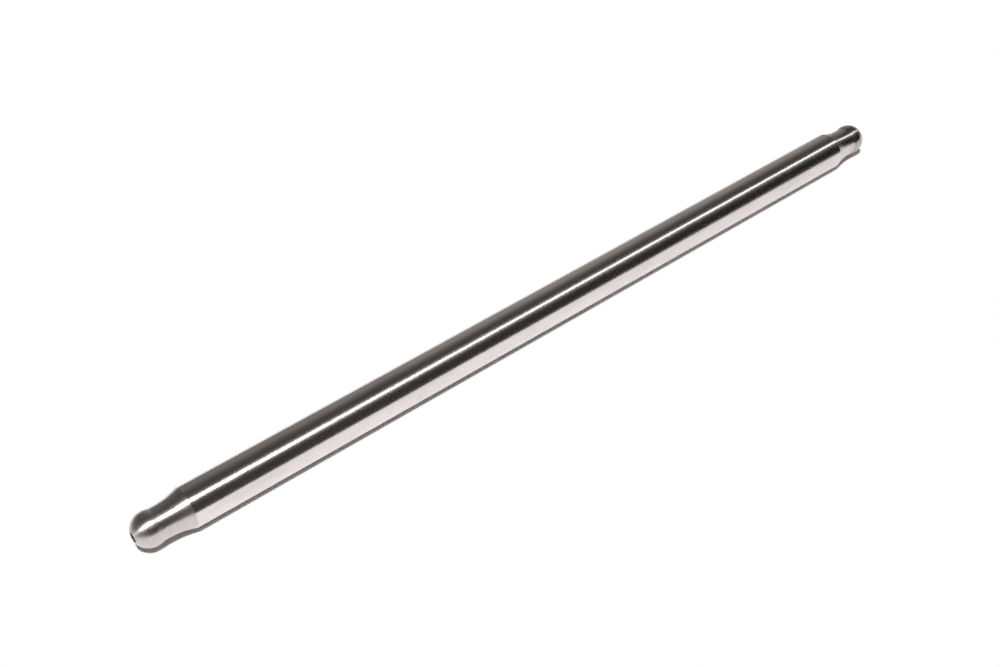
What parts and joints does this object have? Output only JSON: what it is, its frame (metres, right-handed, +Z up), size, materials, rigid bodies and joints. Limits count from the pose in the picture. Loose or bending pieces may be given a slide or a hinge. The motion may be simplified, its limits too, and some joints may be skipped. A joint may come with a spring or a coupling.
{
  "type": "engine pushrod",
  "caption": "Steel engine pushrod: a straight thick-walled tube drawn in to a neck and a ball at each end, with an oil passage along its axis that opens through a flat on each ball.",
  "frame": {"origin": "on the rod's axis, midway between the two ball tips", "axes": "+X along the rod from the lifter's end to the rocker's end, +Z up from the surface that the rod lies on"},
  "size_m": [0.2222, 0.0094, 0.0096],
  "materials": {
    "ground_steel": "ground and polished bare alloy steel"
  },
  "bodies": {
    "root": {"pushrod": "ground_steel"}
  },
  "joints": []
}
